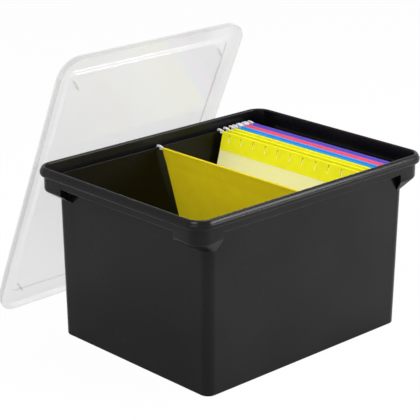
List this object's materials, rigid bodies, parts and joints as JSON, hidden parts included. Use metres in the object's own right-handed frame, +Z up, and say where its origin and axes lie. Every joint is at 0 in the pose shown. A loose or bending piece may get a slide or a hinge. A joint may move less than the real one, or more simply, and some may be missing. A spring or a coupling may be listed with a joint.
{
  "type": "portable file box",
  "caption": "Deep plastic file box with a rolled rim, coloured hanging folders on rails along its long walls, the front folder open, and a clear lid off and leaning on the back.",
  "frame": {"origin": "on the floor, under the middle of the tub's foot", "axes": "+X along the tub's long side towards the closed folders, +Y across it towards the leaning lid, +Z up"},
  "size_m": [0.465, 0.4762, 0.4364],
  "materials": {
    "black_plastic": "moulded black plastic, soft gloss",
    "clear_plastic": "moulded natural plastic, milky and see-through",
    "steel_rod": "drawn steel",
    "coated_tip": "white plastic coating",
    "yellow_card": "dyed card, matt",
    "blue_card": "dyed card, matt",
    "red_card": "dyed card, matt",
    "purple_card": "dyed card, matt"
  },
  "bodies": {
    "tub_body": {"tub": "black_plastic"},
    "lid_body": {"lid": "clear_plastic"},
    "purple_folder": {"purple_sheet": "purple_card", "purple_front_rod": "steel_rod", "purple_rear_rod": "steel_rod", "purple_tips": "coated_tip"},
    "red_folder": {"red_sheet": "red_card", "red_front_rod": "steel_rod", "red_rear_rod": "steel_rod", "red_tips": "coated_tip"},
    "blue_folder": {"blue_sheet": "blue_card", "blue_front_rod": "steel_rod", "blue_rear_rod": "steel_rod", "blue_tips": "coated_tip"},
    "yellow_folder": {"yellow_sheet": "yellow_card", "yellow_front_rod": "steel_rod", "yellow_rear_rod": "steel_rod", "yellow_tips": "coated_tip"},
    "open_rear_rod": {"open_yellow_rear_rod": "steel_rod", "open_yellow_rear_tips": "coated_tip"},
    "open_front_rod": {"open_yellow_front_rod": "steel_rod", "open_yellow_front_tips": "coated_tip"},
    "open_rear_sheet": {"open_yellow_rear_sheet": "yellow_card"},
    "open_front_sheet": {"open_yellow_front_sheet": "yellow_card"}
  },
  "joints": [
    {"name": "lid_lift", "type": "slide", "parent": "tub_body", "child": "lid_body", "axis": [0, 0, 1], "range_m": [0, 0.3]},
    {"name": "purple_slide", "type": "slide", "parent": "tub_body", "child": "purple_folder", "axis": [1, 0, 0], "range_m": [-0.034, 0]},
    {"name": "red_slide", "type": "slide", "parent": "purple_folder", "child": "red_folder", "axis": [1, 0, 0], "range_m": [-0.034, 0]},
    {"name": "blue_slide", "type": "slide", "parent": "red_folder", "child": "blue_folder", "axis": [1, 0, 0], "range_m": [-0.034, 0]},
    {"name": "yellow_slide", "type": "slide", "parent": "blue_folder", "child": "yellow_folder", "axis": [1, 0, 0], "range_m": [-0.034, 0]},
    {"name": "open_slide", "type": "slide", "parent": "yellow_folder", "child": "open_rear_rod", "axis": [1, 0, 0], "range_m": [-0.034, 0]},
    {"name": "open_fold", "type": "slide", "parent": "open_rear_rod", "child": "open_front_rod", "axis": [1, 0, 0], "range_m": [0, 0.122]},
    {"name": "front_sheet_swing", "type": "hinge", "parent": "open_front_rod", "child": "open_front_sheet", "pos_m": [-0.003, 0, 0.2508], "axis": [0, 1, 0], "range_deg": [0, 15.1]},
    {"name": "rear_sheet_swing", "type": "hinge", "parent": "open_rear_rod", "child": "open_rear_sheet", "pos_m": [0.1255, 0, 0.2508], "axis": [0, -1, 0], "range_deg": [0, 15.1]}
  ],
  "couplings": [
    {"joint": "front_sheet_swing", "follows": "open_fold", "rad_per_m": 2.1463},
    {"joint": "rear_sheet_swing", "follows": "open_fold", "rad_per_m": 2.1463}
  ]
}
